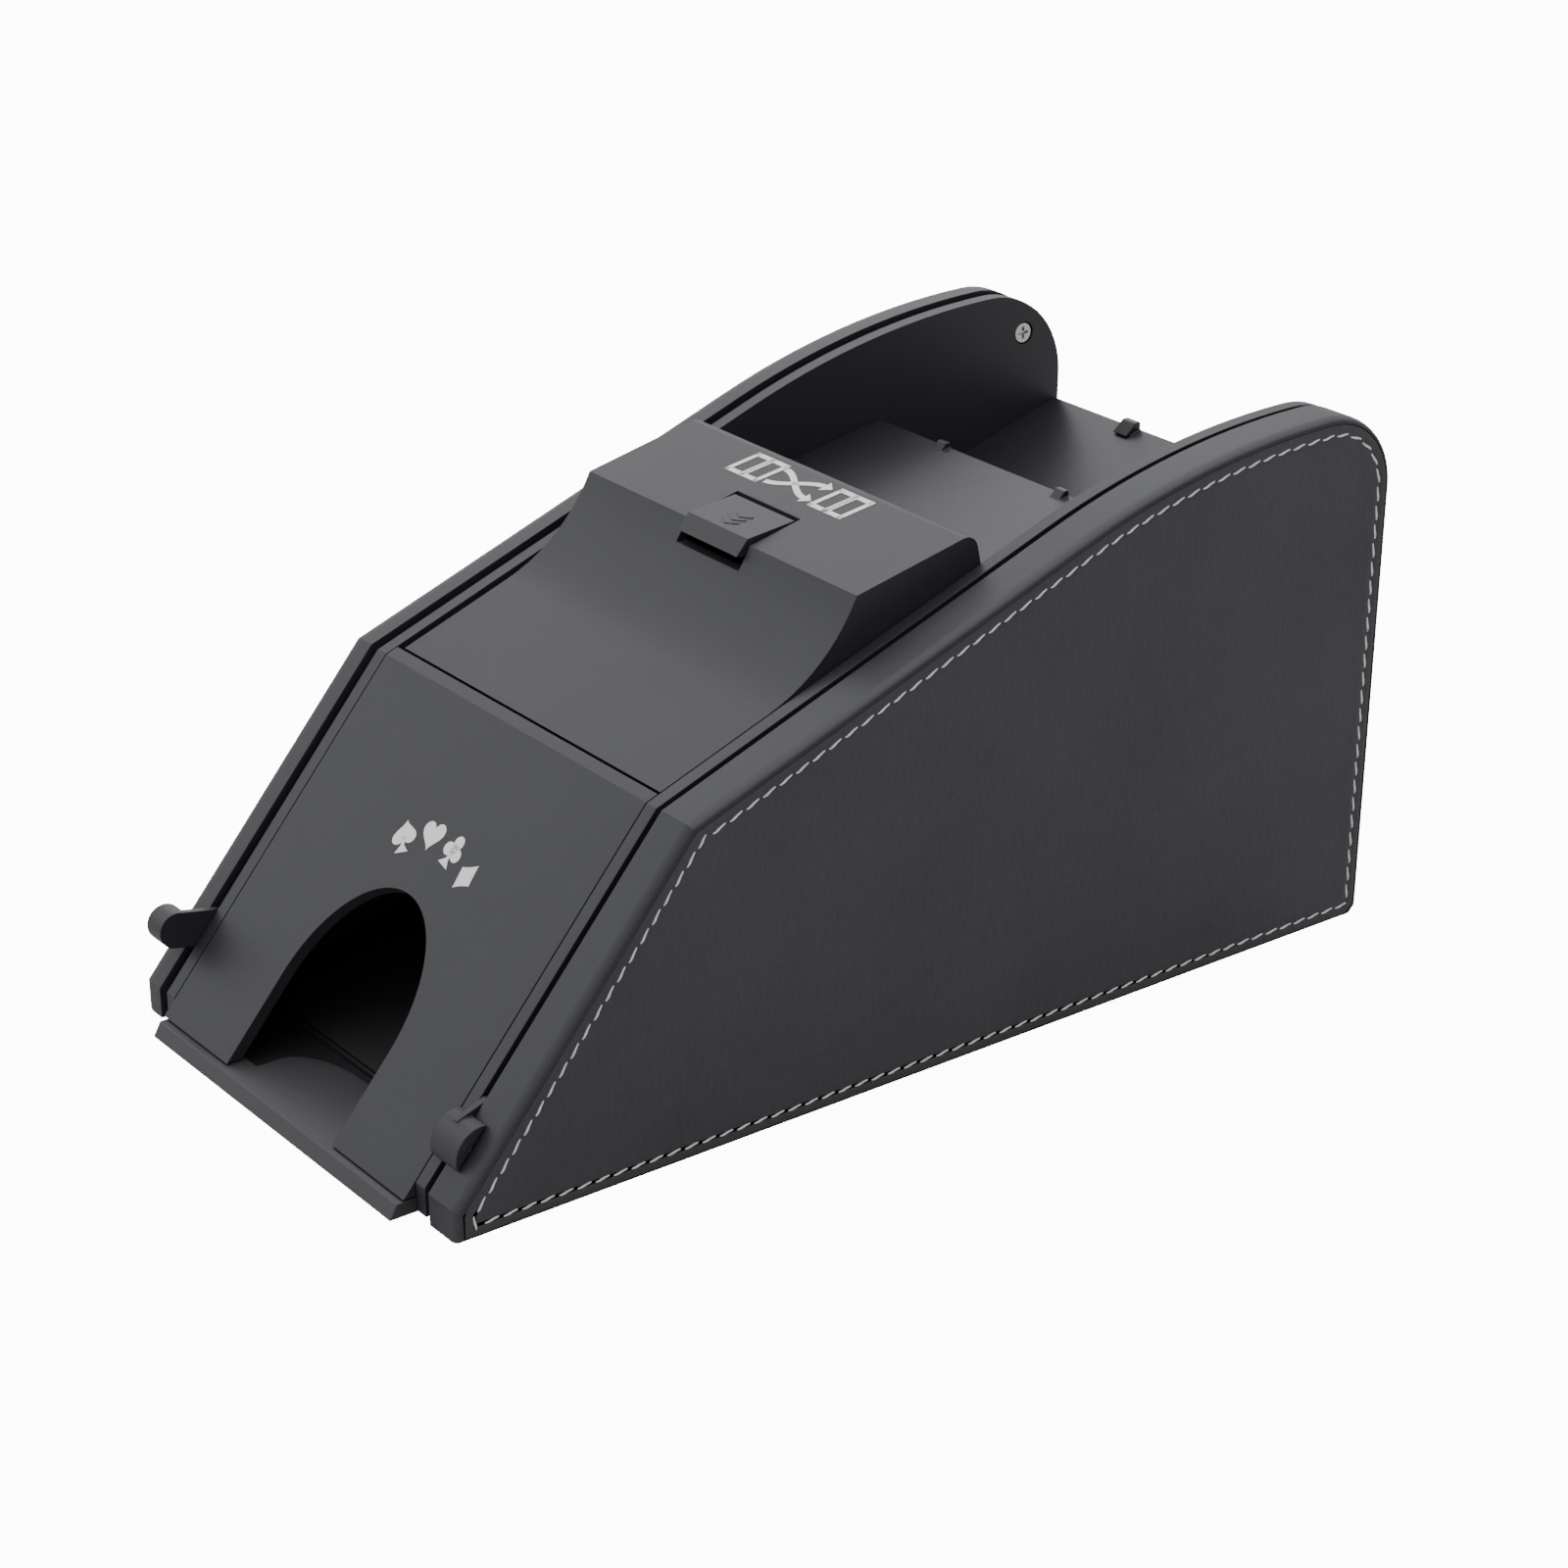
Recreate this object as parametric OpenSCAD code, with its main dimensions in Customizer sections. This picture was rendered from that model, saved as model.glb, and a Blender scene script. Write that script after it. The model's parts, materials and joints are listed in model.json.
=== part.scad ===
// Automatic card shuffler with a dealing shoe. Millimetres, +Z up.
// The origin is at the middle of the base, on the surface that the feet stand on.
// +X is the side of the gear train, -Y is the dealing end.

/* [Overall] */
// Width over the two leather faces
overall_w = 120; // [120:1:132]
// Length of the two side shells
shell_l = 231.8; // [230:0.2:236]
// Height from the table to the crown of the shells
overall_h = 120; // [116:1:124]
// Height of the rubber feet
foot_h = 4.3; // [3:0.1:5]

/* [Side profile] */
// Height of the small upright face at the front of the shells
front_face_h = 6.8; // [5:0.2:9]
// Distance from the front face back to the kink
kink_back = 53.9; // [50:0.5:58]
// Slope of the roof behind the kink
roof_angle = 20.1; // [18:0.1:22]
// Where the straight roof starts to curve, measured from the middle
bend_y = 33.2; // [30:0.2:44]
// Where the roof is highest, measured from the middle
crown_y = 99.4; // [96:0.2:102]

/* [Shells and walls] */
// Thickness of the left shell
left_shell_t = 6.3; // [6:0.1:8]
// Thickness of the right shell, which holds the gears
right_shell_t = 10.1; // [9.6:0.1:12]
// Open joint between a shell and the wall beside it
wall_gap = 2.1; // [1.9:0.1:2.4]
// Thickness of the walls
wall_t = 3.1; // [2.8:0.1:3.6]
// Thickness of the leather
leather_t = 0.9; // [0.6:0.1:1.2]
// Thickness of the covers
cover_t = 2.2; // [2:0.1:2.8]

/* [Covers] */
// Length of the front cover's strip behind the kink
strip_l = 3; // [2.4:0.2:4]
// Half width of the thumb opening
thumb_r = 20.4; // [16:0.2:24]
// Distance from the kink down to the top of the thumb opening
thumb_top = 38.6; // [34:0.2:44]
// Radius of the curve that rises to the hood
hood_r = 38; // [34:0.2:40]
// Slope of the top of the hood
hood_angle = 12.1; // [10:0.1:15]
// Width of the shuffle button
button_w = 20; // [16:0.5:22]

/* [Trays and rollers] */
// Radius of the rubber tyres that feed the cards
tyre_r = 8; // [7.5:0.1:8.4]
// Width of a tyre
tyre_w = 12; // [8:1:14]
// Radius of the steel shafts
shaft_r = 2; // [1.5:0.1:2.2]
// Distance of the tyres from the middle of the cards
tyre_x = 22; // [16:1:26]

/* [Levers] */
// Radius of the round finger end of the left lever
lobe_r = 3.9; // [3.4:0.1:4.2]
// Distance from the left lever's pivot to the middle of its finger end
lobe_reach = 8.7; // [8:0.1:9.2]
// Angle between the raised left lever and the slope
raised_angle = 60.4; // [56:0.2:64]
// Length of the right lever's paddle, measured down the slope
paddle_l = 10.1; // [9:0.1:11]
// Height of the right lever's paddle
paddle_h = 2.8; // [2.2:0.1:3.2]

/* [Hidden] */
$fn = 48;

dark = [0.27, 0.27, 0.28];
soot = [0.1, 0.1, 0.11];
hide = [0.2, 0.2, 0.21];
steel = [0.75, 0.76, 0.78];
rubber = [0.12, 0.12, 0.12];
pale = [0.85, 0.85, 0.82];

// Side to side positions
x_out = overall_w / 2;
xl_shell = left_shell_t - x_out;
xr_shell = x_out - right_shell_t;
xl_wall_out = xl_shell + wall_gap;
xr_wall_out = xr_shell - wall_gap;
xl_wall = xl_wall_out + wall_t;
xr_wall = xr_wall_out - wall_t;
cover_gap = 0.3;
xl_cover = xl_wall + cover_gap;
xr_cover = xr_wall - cover_gap;
x_mid = (xl_wall + xr_wall) / 2;

// Side profile, drawn with Y across and Z up
lip_reach = 5.3;
wall_reach = 3.2;
y_front = -(shell_l + wall_reach + lip_reach) / 2 + lip_reach;
y_rear = y_front + shell_l;
y_wall_rear = y_rear + wall_reach;
z_base = foot_h;
crown_r = (crown_y - bend_y) / sin(roof_angle);
kink_y = y_front + kink_back;
kink_z = overall_h - crown_r * (1 - cos(roof_angle)) - (bend_y - kink_y) * tan(roof_angle);
front_angle = atan2(kink_z - z_base - front_face_h, kink_back);
wall_drop = 0.5;
groove = 7;
rear_rake = 1.8;

function on_slope(s, h) = [kink_y - s * cos(front_angle) - h * sin(front_angle),
    kink_z - s * sin(front_angle) + h * cos(front_angle)];
function on_roof(a, b) = [kink_y + a * cos(roof_angle) - b * sin(roof_angle),
    kink_z + a * sin(roof_angle) + b * cos(roof_angle)];
function kink(d) = let (half = (front_angle - roof_angle) / 2, m = (front_angle + roof_angle) / 2)
    [kink_y + d / cos(half) * sin(m), kink_z - d / cos(half) * cos(m)];
function arc(c, r, from, to, n) = [for (i = [0 : n])
    let (a = from + (to - from) * i / n) [c[0] + r * cos(a), c[1] + r * sin(a)]];
function profile(d, rear, rake) = concat(
    [[y_front + d, z_base + min(d, 1)]],
    [[y_front + d, z_base + front_face_h + d * (tan(front_angle) - 1 / cos(front_angle))]],
    [kink(d)],
    arc([crown_y, overall_h - crown_r], crown_r - d, 90 + roof_angle, 90, 14),
    arc([crown_y, overall_h - (rear - crown_y)], rear - crown_y - d, 84, 0, 14),
    [[rear - rake - d, z_base + 2 + min(d, 1)], [rear - rake - 2 - d, z_base + min(d, 1)]]);

module along_x(from, to) {
    translate([from, 0, 0]) rotate([90, 0, 90]) linear_extrude(to - from) children();
}
module rod(x0, x1, at, r) {
    translate([x0, at[0], at[1]]) rotate([0, 90, 0]) cylinder(h = x1 - x0, r = r);
}
module on_front(s, h) {
    translate([0, on_slope(s, h)[0], on_slope(s, h)[1]]) rotate([front_angle, 0, 0]) children();
}

// Lever geometry: the pivots lie just under the slope of the front
left_pivot_s = 66.1;
right_pivot_s = 63.9;
pivot_h = -2.4;
left_pivot = on_slope(left_pivot_s, pivot_h);
right_pivot = on_slope(right_pivot_s, pivot_h);
pin_r = 1.2;
fit = 0.06;
lever_t = wall_gap - 0.6;
lobe_l = 4.1;
paddle_s = 66.2;
paddle_lift = 0.45;
paddle_x = [xr_wall + 0.6, xr_shell + 4.4];
left_sweep = 13.2;
right_sweep = 14.6;
hub_r = 2.3;

// Front cover hinge, just under the strip
hinge = on_roof(-2.2, -3.6);
hinge_pin_r = 1.2;
seam = 0.6;
seam_foot = 1.4;

// Shafts and gears
tray_slope = 0.19;
tray_end = [67.7, 98];
low_slope = 0.3;
low_end = [y_wall_rear - 1.3, 92.9];
function tray_z(y) = tray_end[1] - tray_slope * (tray_end[0] - y);
function low_z(y) = low_end[1] - low_slope * (low_end[0] - y);
gear_m = 0.8;
roller_z = 30;
idler_z = 36;
small_z = 16;
big_z = 34;
pinion_z = 14;
axis_u = [6.2, tray_z(6.2) + 0.8 - tyre_r];
gear_line = -12.3;
function step(p, dist, a) = [p[0] + dist * cos(a), p[1] + dist * sin(a)];
axis_i = step(axis_u, gear_m * (roller_z + idler_z) / 2, gear_line);
axis_l = step(axis_i, gear_m * (roller_z + idler_z) / 2, gear_line);
reduction_line = -60;
motor_line = -10;
axis_r = step(axis_l, gear_m * (roller_z + small_z) / 2, reduction_line);
axis_m = step(axis_r, gear_m * (big_z + pinion_z) / 2, motor_line);
layer_1 = [xr_shell + 0.6, xr_shell + 3.4];
layer_2 = [xr_shell + 4, xr_shell + 6.6];
function phase(p, z1, z2, a) = a + 180 + 360 / z2 * (0.5 - (p - a) * z1 / 360);
phase_l = 0;
phase_i = phase(phase_l, roller_z, idler_z, gear_line + 180);
phase_u = phase(phase_i, idler_z, roller_z, gear_line + 180);
phase_s = phase(phase_l, roller_z, small_z, reduction_line);
phase_p = phase(0, big_z, pinion_z, motor_line);

// Battery bay
cell_r = 7.2;
cell_l = 50.5;
cell_pitch = 14.8;
base_t = 3.5;
bay_x = x_mid;
bay_y = 75;
bay_l = 62;
bay_w = 59;
bay_wall = 1.5;
door_slide = 8;

module gear_shape(z, start) {
    r = gear_m * z / 2;
    t = 360 / z;
    polygon([for (i = [0 : z - 1]) for (k = [[-0.29, -1.15], [-0.12, 0.9], [0.12, 0.9], [0.29, -1.15]])
        let (a = start + t * (i + k[0]), q = r + gear_m * k[1]) [q * cos(a), q * sin(a)]]);
}
module gear(at, z, start, x, bore) {
    difference() {
        along_x(x[0], x[1]) translate(at) gear_shape(z, start);
        rod(x[0] - 1, x[1] + 1, at, bore);
    }
}

// Shells: an outer skin with a rim round it, hollow towards the wall
module shell(x_in, x_rim, x_face, x_skin) {
    sign = x_face > x_in ? 1 : -1;
    pivot = sign > 0 ? right_pivot : left_pivot;
    lo = min(x_in, x_rim);
    difference() {
        along_x(lo, max(x_in, x_rim)) polygon(profile(0, y_rear, rear_rake));
        along_x(min(x_in, x_skin), max(x_in, x_skin)) polygon(profile(3, y_rear, rear_rake));
        along_x(min(x_face, x_face + sign * 2), max(x_face, x_face + sign * 2))
            polygon(profile(rim_w, y_rear, rear_rake));
        rod(min(x_in - sign, x_skin), max(x_in - sign, x_skin), pivot, pin_r);
    }
    for (p = screw_points) difference() {
        rod(min(x_in, x_skin), max(x_in, x_skin), p, 4);
        rod(min(x_in, x_skin - sign * 1), max(x_in, x_skin - sign * 1), p, 1.5);
    }
    difference() {
        rod(min(x_in, x_skin), max(x_in, x_skin), pivot, 2.2);
        rod(min(x_in, x_skin) - 1, max(x_in, x_skin) + 1, pivot, pin_r);
    }
}
screw_points = [[109.4, 109.7], [-89, 15.3]];
skin_t = 2.2;
rim_w = 1.3;
rim_sink = 0.15;
head_t = 1.3;
seat = head_t + 0.3;
head_r = 2.3;
module left_shell() {
    color(dark) shell(xl_shell, rim_sink - x_out, leather_t - x_out, leather_t - x_out + skin_t);
}
module right_shell() {
    color(dark) shell(xr_shell, x_out - rim_sink, x_out - leather_t, x_out - leather_t - skin_t);
}
leather_inset = 1.4;
module left_leather() {
    color(hide) along_x(-x_out, leather_t - x_out) polygon(profile(leather_inset, y_rear, rear_rake));
}
module right_leather() {
    color(hide) along_x(x_out - leather_t, x_out) polygon(profile(leather_inset, y_rear, rear_rake));
}

// Walls: each carries the trays, the shafts and the hinge pins of the front cover
module wall(x_in, x_out_face, x_joint) {
    lo = min(x_in, x_joint);
    hi = max(x_in, x_joint);
    side = x_joint > x_in ? 1 : -1;
    pivot = side > 0 ? right_pivot : left_pivot;
    sweep = side > 0 ? right_sweep : left_sweep;
    difference() {
        union() {
            along_x(min(x_in, x_out_face), max(x_in, x_out_face))
                polygon(profile(wall_drop, y_wall_rear + wall_drop, rear_rake));
            along_x(min(x_out_face, x_joint), max(x_out_face, x_joint))
                polygon(profile(groove, y_rear, rear_rake));
        }
        rod(side > 0 ? x_out_face : lo - 1, side > 0 ? hi + 1 : x_out_face, pivot, sweep);
        rod(lo - 1, hi + 1, axis_u, shaft_r + fit);
        rod(lo - 1, hi + 1, axis_l, shaft_r + fit);
        for (p = screw_points) rod(lo - 1, hi + 1, p, 1.6);
        for (p = screw_points)
            rod(x_in - (side > 0 ? 1 : seat), x_in + (side > 0 ? seat : 1), p, head_r + 0.3);
        rod(side > 0 ? x_in - 1 : x_in - 2.1, side > 0 ? x_in + 2.1 : x_in + 1, hinge, hinge_pin_r + fit);
        rod(side > 0 ? x_out_face - 1.6 : x_out_face - 1, side > 0 ? x_out_face + 1 : x_out_face + 1.6,
            pivot, pin_r);
        if (side > 0) {
            rod(x_in - 1, hi + 1, axis_m, 3);
            for (p = [axis_i, axis_r]) rod(x_in - 1, hi + 1, p, 1.5);
        }
    }
    along_x(side > 0 ? x_in - 1.8 : x_in, side > 0 ? x_in : x_in + 1.8)
        polygon([on_roof(12, -3.1), on_roof(76, -3.1), on_roof(76, -5.1), on_roof(12, -5.1)]);
}
module left_wall() { color(dark) wall(xl_wall, xl_wall_out, xl_shell); }
module right_wall() { color(dark) wall(xr_wall, xr_wall_out, xr_shell); }

// Floor of the machine, with the opening for the cells
module base_plate() {
    color(soot) difference() {
        translate([xl_wall, y_front + 2.5, z_base])
            cube([xr_wall - xl_wall, y_rear - y_front - 2.5, base_t]);
        translate([bay_x - bay_w / 2 + 3, bay_y - bay_l / 2 + 2, z_base - 1])
            cube([bay_w - 6, bay_l - 4, base_t + 2]);
        translate([bay_x - bay_w / 2, bay_y - bay_l / 2 - door_slide, z_base + 0.6])
            cube([bay_w, bay_l + door_slide, 1.8]);
        translate([bay_x - bay_w / 2 + 1.5, bay_y - bay_l / 2 - door_slide, z_base - 1])
            cube([bay_w - 3, bay_l + door_slide, 2]);
        translate([xl_wall - 1, y_front, z_base + lip_floor]) cube([xr_wall - xl_wall + 2, 18.6, base_t]);
    }
}
module rear_panel() {
    z = z_base + base_t;
    z_top = low_z(y_rear + 0.6) - 2.2;
    color(dark) along_x(xl_wall, xr_wall) polygon([[y_rear + 0.1, z_base], [y_rear + 0.1, z],
        [y_rear - 0.9, z], [y_rear + 0.1, z_top], [y_rear + 1.9, z_top], [y_rear + 0.9, z_base]]);
}

// The lip that the cards slide out over, with a round tongue behind it
lip_floor = 2;
lip_z = z_base + 3.05;
lip_rise = 0.028;
lip_crease = 1.7;
tongue_w = 18.4;
tongue_l = 9;
tongue_x = 0;
module deal_lip() {
    y_lip = y_front - lip_reach;
    y_back = y_front + 2.5;
    y_round = y_front + 7;
    y_tip = y_round + tongue_l + 1;
    function top(y) = lip_z + lip_rise * (y - y_lip - lip_crease);
    color(dark) {
        along_x(xl_cover + 0.6, xr_cover) polygon([[y_lip, z_base], [y_lip + lip_crease, lip_z],
            [y_back, top(y_back)], [y_back, z_base]]);
        intersection() {
            along_x(xl_cover, xr_cover) polygon([[y_back, z_base + lip_floor], [y_back, top(y_back)],
                [y_tip, top(y_tip)], [y_tip, z_base + lip_floor]]);
            translate([tongue_x, y_round, z_base]) linear_extrude(8) polygon(concat(
                [[-tongue_w, y_back - y_round]],
                [for (i = [0 : 24]) let (a = 180 - 7.5 * i) [tongue_w * cos(a), tongue_l * sin(a)]],
                [[tongue_w, y_back - y_round]]));
        }
    }
}

// The sloping floor of the shoe, which the shuffled cards slide down
module shoe_floor() {
    y0 = y_front + 19;
    y1 = 49.2;
    z0 = z_base + base_t + 0.5;
    z1 = 44.3;
    color(soot) {
        along_x(xl_wall, xr_wall) polygon([[y0, z0], [y1, z1], [y1, z1 + 14], [y1 + 2, z1 + 14],
            [y1 + 2, z1 - 1.6], [y0 + 9, z0]]);
        for (x = [xl_wall + 14, xr_wall - 16]) translate([x, y1 - 3, z_base + base_t])
            cube([2, 4, z1 - z_base - base_t - 2]);
    }
}

// Front cover: the sloping plate with the thumb opening and a strip bent over the kink
front_t = 2.6;
module cover_shape() {
    zb = z_base + 3.5;
    polygon([[cover_foot(wall_drop, zb), zb], kink(wall_drop), on_roof(strip_l, -wall_drop),
        on_roof(strip_l, -wall_drop - front_t), kink(wall_drop + front_t),
        [cover_foot(wall_drop + front_t, zb), zb]]);
}
function cover_foot(d, z) = kink(d)[0] - (kink(d)[1] - z) / tan(front_angle);
thumb_arch = 27;
module front_cover() {
    color(dark) {
        difference() {
            along_x(xl_cover, xr_cover) cover_shape();
            on_front(thumb_top + thumb_arch, -6) translate([x_mid, 0, 0]) linear_extrude(12) polygon(concat(
                [[-thumb_r, -60]],
                [for (i = [0 : 36]) let (a = 180 - 5 * i) [thumb_r * cos(a), thumb_arch * sin(a)]],
                [[thumb_r, -60]]));
        }
        rod(xl_cover - 2, xl_cover + 4, hinge, hinge_pin_r);
        rod(xr_cover - 4, xr_cover + 2, hinge, hinge_pin_r);
    }
}

// Middle cover: the roof plate that rises to the hood over the upper tray
hood_foot = -32.2;
hood_start = on_roof((hood_foot - kink_y) / cos(roof_angle), -wall_drop);
hood_rise = 64.1;
hood_mid = [hood_start[0] - hood_r * sin(roof_angle), hood_start[1] + hood_r * cos(roof_angle)];
function hood_curve(t) = [for (i = [0 : 10]) let (a = roof_angle + (hood_rise - roof_angle) * i / 10)
    [hood_mid[0] + (hood_r + t) * sin(a), hood_mid[1] - (hood_r + t) * cos(a)]];
ridge = hood_curve(0)[10];
function hood_z(y) = ridge[1] + (y - ridge[0]) * tan(hood_angle);
hood_rear = 20.2;
hood_edge_r = 3;
edge_mid = [hood_rear - hood_edge_r - 1.2, hood_z(hood_rear - hood_edge_r - 1.2) - hood_edge_r];
hood_left = -46.3;
bracket_z = 88.3;
button_x = x_mid + 1.2;
button_gap = 0.6;
button_rear = 0.7;
slot_rear = 1.8;
slot_z = 98.2;
button_axis = [-0.9, hood_z(-0.9) - 3.4];
module middle_cover() {
    low = on_roof((hood_rear - kink_y) / cos(roof_angle), -3.1);
    bx = button_w / 2 + button_gap;
    color(dark) {
        difference() {
            along_x(hood_left, xr_cover) polygon(concat(
                [on_roof(strip_l + seam, -wall_drop)], hood_curve(0),
                arc(edge_mid, hood_edge_r, 90 + hood_angle, 12, 6),
                [[hood_rear, low[1]], on_roof(strip_l + seam_foot, -3.1)]));
            along_x(hood_left + 2, xr_cover - 2) polygon(concat(
                [on_roof(strip_l - 1, -wall_drop - cover_t)], hood_curve(cover_t),
                [[ridge[0] + 2.2, hood_z(ridge[0] + 2.2) - cover_t]],
                [[hood_rear - cover_t - 1.4, hood_z(hood_rear - 3.6) - cover_t - 0.6]],
                [[hood_rear - cover_t, low[1] - 6], on_roof(strip_l - 1, -9)]));
            translate([button_x - bx, slot_rear - 30, slot_z]) cube([2 * bx, 30, 20]);
        }
        for (x = [button_x - bx - 2.5, button_x + bx + 0.5]) difference() {
            along_x(x, x + 2) polygon([[-10.8, bracket_z], [-8.8, hood_z(-8.8) - 1.5],
                [3.7, hood_z(3.7) - 1.5], [3.7, button_axis[1] - 2.4], [-0.8, bracket_z]]);
            rod(x - 1, x + 3, button_axis, 0.8);
        }
        translate([button_x - bx - 2.5, -10.8, bracket_z - 1.5]) cube([2 * bx + 5, 10, 1.5]);
    }
}

// Shuffle button: a flap that turns on a pin at its rear
module shuffle_button() {
    bw = button_w / 2;
    crest = [ridge[0], ridge[1] + 1.2];
    color(dark) difference() {
        union() {
            along_x(button_x - bw, button_x + bw) polygon([[button_rear, hood_z(button_rear)], crest,
                [-13.7, 101], [-12, 100.6], [crest[0] + 1.4, crest[1] - 2.2],
                [button_rear, hood_z(button_rear) - 2.2]]);
            along_x(button_x - bw, button_x + bw) polygon([[button_rear - 0.2, hood_z(button_rear) - 1],
                [button_axis[0] - 1.6, hood_z(button_rear) - 1], [button_axis[0] - 1.6, button_axis[1]],
                [button_axis[0] + 1.6, button_axis[1]]]);
            rod(button_x - bw, button_x + bw, button_axis, 1.6);
            translate([button_x, -5.8, bracket_z + 8.1]) cylinder(h = 6.8, r = 1.5);
        }
        rod(button_x - bw - 1, button_x + bw + 1, button_axis, 0.8 + fit);
    }
}
module button_pin() {
    bx = button_w / 2 + button_gap;
    color(steel) rod(button_x - bx - 2.6, button_x + bx + 2.6, button_axis, 0.79);
}
module micro_switch() {
    color(soot) translate([button_x - 6.4, -8.8, bracket_z]) cube([12.8, 6, 5.6]);
    color("firebrick") translate([button_x, -5.8, bracket_z + 5.6]) cylinder(h = 1.2, r = 1);
}

// Trays: plates that slope down to the feed rollers, cut away for the tyres
module tab(x, y, z, k) {
    along_x(x - 2.2 * k, x + 2.2 * k)
        polygon([[y - 4.6 * k, z - 0.9], [y - 1.6 * k, z + 1.7 * k], [y, z + 1.7 * k], [y, z - 1]]);
}
module upper_tray() {
    e = tray_end;
    color(dark) {
        difference() {
            along_x(xl_wall, xr_wall) polygon([[-1.8, tray_z(-1.8)], e, [e[0], e[1] - 4.5],
                [e[0] - 1.6, e[1] - 4.5], [e[0] - 1.6, tray_z(e[0] - 1.6) - 2], [-1.8, tray_z(-1.8) - 2]]);
            for (s = [-1, 1]) translate([x_mid + s * tyre_x - tyre_w / 2 - 0.6, -4.8, 71])
                cube([tyre_w + 1.2, axis_u[0] + tyre_r + 4.6, 25]);
        }
        for (x = [-25, 14]) tab(x, e[0], e[1], 0.7);
    }
}
module lower_tray() {
    y0 = axis_l[0] - 8;
    color(dark) {
        difference() {
            along_x(xl_wall, xr_wall) polygon([[y0, low_z(y0)], low_end, [low_end[0], low_end[1] - 2],
                [y0, low_z(y0) - 2]]);
            for (s = [-1, 1]) translate([x_mid + s * tyre_x - tyre_w / 2 - 0.6, y0 - 2, 60])
                cube([tyre_w + 1.2, 8 + tyre_r + 2.6, 25]);
        }
        for (x = [-21, 14]) tab(x, low_end[0], low_end[1], 1);
    }
}

// Gates that let one card at a time into the shoe
module upper_gate() {
    z = axis_u[1] + tyre_r + 0.7;
    rail = 4.5;
    color(soot) {
        translate([xl_wall, 4.4, z]) cube([xr_wall - xl_wall, 1.6, rail]);
        translate([xl_wall + 5, 4.4, z + rail]) cube([xr_wall - xl_wall - 8, 1.6, 6.4]);
    }
}
module lower_gate() {
    y = axis_l[0] - 2;
    z = axis_l[1] + tyre_r + 0.7;
    color(soot) translate([xl_wall, y, z]) cube([xr_wall - xl_wall, 1.6, tray_z(y) - 2.4 - z]);
}

// Feed rollers
module tyres(at) {
    for (s = [-1, 1]) difference() {
        rod(x_mid + s * tyre_x - tyre_w / 2, x_mid + s * tyre_x + tyre_w / 2, at, tyre_r);
        rod(x_mid + s * tyre_x - tyre_w, x_mid + s * tyre_x + tyre_w, at, shaft_r);
    }
}
module upper_shaft() { color(steel) rod(xl_wall_out + 0.4, layer_1[1], axis_u, shaft_r); }
module lower_shaft() { color(steel) rod(xl_wall_out + 0.4, layer_1[1], axis_l, shaft_r); }
module upper_tyres() { color(rubber) tyres(axis_u); }
module lower_tyres() { color(rubber) tyres(axis_l); }

// Gear train in the right shell
module upper_gear() { color(pale) gear(axis_u, roller_z, phase_u, layer_1, shaft_r); }
module lower_gear() { color(pale) gear(axis_l, roller_z, phase_l, layer_1, shaft_r); }
module idler_gear() { color(pale) gear(axis_i, idler_z, phase_i, layer_1, 1.5 + fit); }
module reduction_gear() {
    color(pale) {
        gear(axis_r, small_z, phase_s, [layer_1[0], layer_2[0]], 1.5 + fit);
        gear(axis_r, big_z, 0, layer_2, 1.5 + fit);
    }
}
module gear_posts() {
    color(steel) {
        rod(xr_wall + 0.1, layer_1[1] + 0.4, axis_i, 1.5);
        rod(xr_wall + 0.1, layer_2[1] + 0.2, axis_r, 1.5);
    }
}
module motor() {
    color(steel) {
        difference() {
            rod(xr_wall - 31, xr_wall, axis_m, 12);
            rod(xr_wall - 12, xr_wall + 1, axis_m, 2);
        }
        rod(xr_wall - 33.5, xr_wall - 31, axis_m, 5);
    }
}
module motor_rotor() {
    color(steel) rod(xr_wall - 11.5, layer_2[0] + 1, axis_m, 1.2);
    color("goldenrod") gear(axis_m, pinion_z, phase_p, layer_2, 1.2);
}

// Battery box with four cells lying side by side
module battery_box() {
    z0 = z_base + base_t;
    color(soot) difference() {
        translate([bay_x - bay_w / 2, bay_y - bay_l / 2, z0]) cube([bay_w, bay_l, 17]);
        translate([bay_x - bay_w / 2 + bay_wall, bay_y - bay_l / 2 + bay_wall - 0.3, z0 - 1])
            cube([bay_w - 2 * bay_wall, bay_l - 2 * bay_wall + 0.6, 17]);
    }
}
cell_z = z_base + base_t + cell_r + 0.6;
module cell(i) {
    y = bay_y + (i - 2.5) * cell_pitch;
    flip = i % 2 == 0 ? 1 : -1;
    x0 = bay_x - flip * cell_l / 2;
    color(i % 2 == 0 ? "darkslategray" : "dimgray")
        rod(min(x0, x0 + flip * (cell_l - 1)), max(x0, x0 + flip * (cell_l - 1)), [y, cell_z], cell_r);
    color(steel) rod(min(x0 + flip * (cell_l - 1), x0 + flip * cell_l),
        max(x0 + flip * (cell_l - 1), x0 + flip * cell_l), [y, cell_z], 2.6);
}
module cell_1() { cell(1); }
module cell_2() { cell(2); }
module cell_3() { cell(3); }
module cell_4() { cell(4); }
module battery_contacts() {
    plate = [0.5, 12, 12];
    for (i = [1 : 4]) for (s = [-1, 1])
        color(steel) translate([bay_x + s * (bay_w / 2 - bay_wall - 0.35) - 0.25,
            bay_y + (i - 2.5) * cell_pitch - 6, cell_z - 6]) cube(plate);
}
module battery_door() {
    color(dark) {
        translate([bay_x - bay_w / 2 + 0.3, bay_y - bay_l / 2 + 0.3, z_base + 0.9])
            cube([bay_w - 0.6, bay_l - 0.6, 1.2]);
        for (i = [0 : 4]) translate([bay_x - 10, bay_y - bay_l / 2 + 5 + 2.4 * i, z_base + 0.5])
            cube([20, 1, 0.5]);
    }
}
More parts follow.
